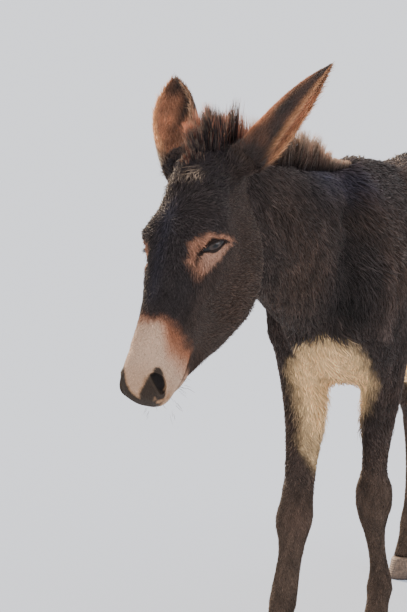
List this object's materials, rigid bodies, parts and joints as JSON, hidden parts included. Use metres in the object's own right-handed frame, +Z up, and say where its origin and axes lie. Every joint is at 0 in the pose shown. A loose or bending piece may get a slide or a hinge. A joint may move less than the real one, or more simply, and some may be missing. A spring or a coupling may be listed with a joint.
{
  "type": "donkey",
  "caption": "Life-size standing donkey, a still museum-style model with lowered head, upright mane, long ears and one forefoot a step ahead.",
  "frame": {"origin": "middle of the base of the animal's bounding box, on the ground under the soles", "axes": "+Z up, -Y the way the animal faces, +X to the animal's left"},
  "size_m": [0.5134, 1.7268, 1.2825],
  "materials": {
    "coat": "short dense fur, near-black brown with pale muzzle and inner legs",
    "hair": "long coarse hair, dark at the roots and rusty at the tips",
    "horn": "worn hoof horn",
    "eye": "wet eyeball"
  },
  "bodies": {
    "root": {"trunk": "coat", "neck": "coat", "head": "coat", "ear_left": "coat", "ear_right": "coat", "forearm_left": "coat", "forearm_right": "coat", "thigh_left": "coat", "thigh_right": "coat", "fore_cannon_left": "coat", "fore_cannon_right": "coat", "hind_cannon_left": "coat", "hind_cannon_right": "coat", "tail": "coat", "mane": "hair", "forelock": "hair", "tail_switch": "hair", "fore_hoof_left": "horn", "fore_hoof_right": "horn", "hind_hoof_left": "horn", "hind_hoof_right": "horn", "eye_left": "eye", "eye_right": "eye"}
  },
  "joints": []
}
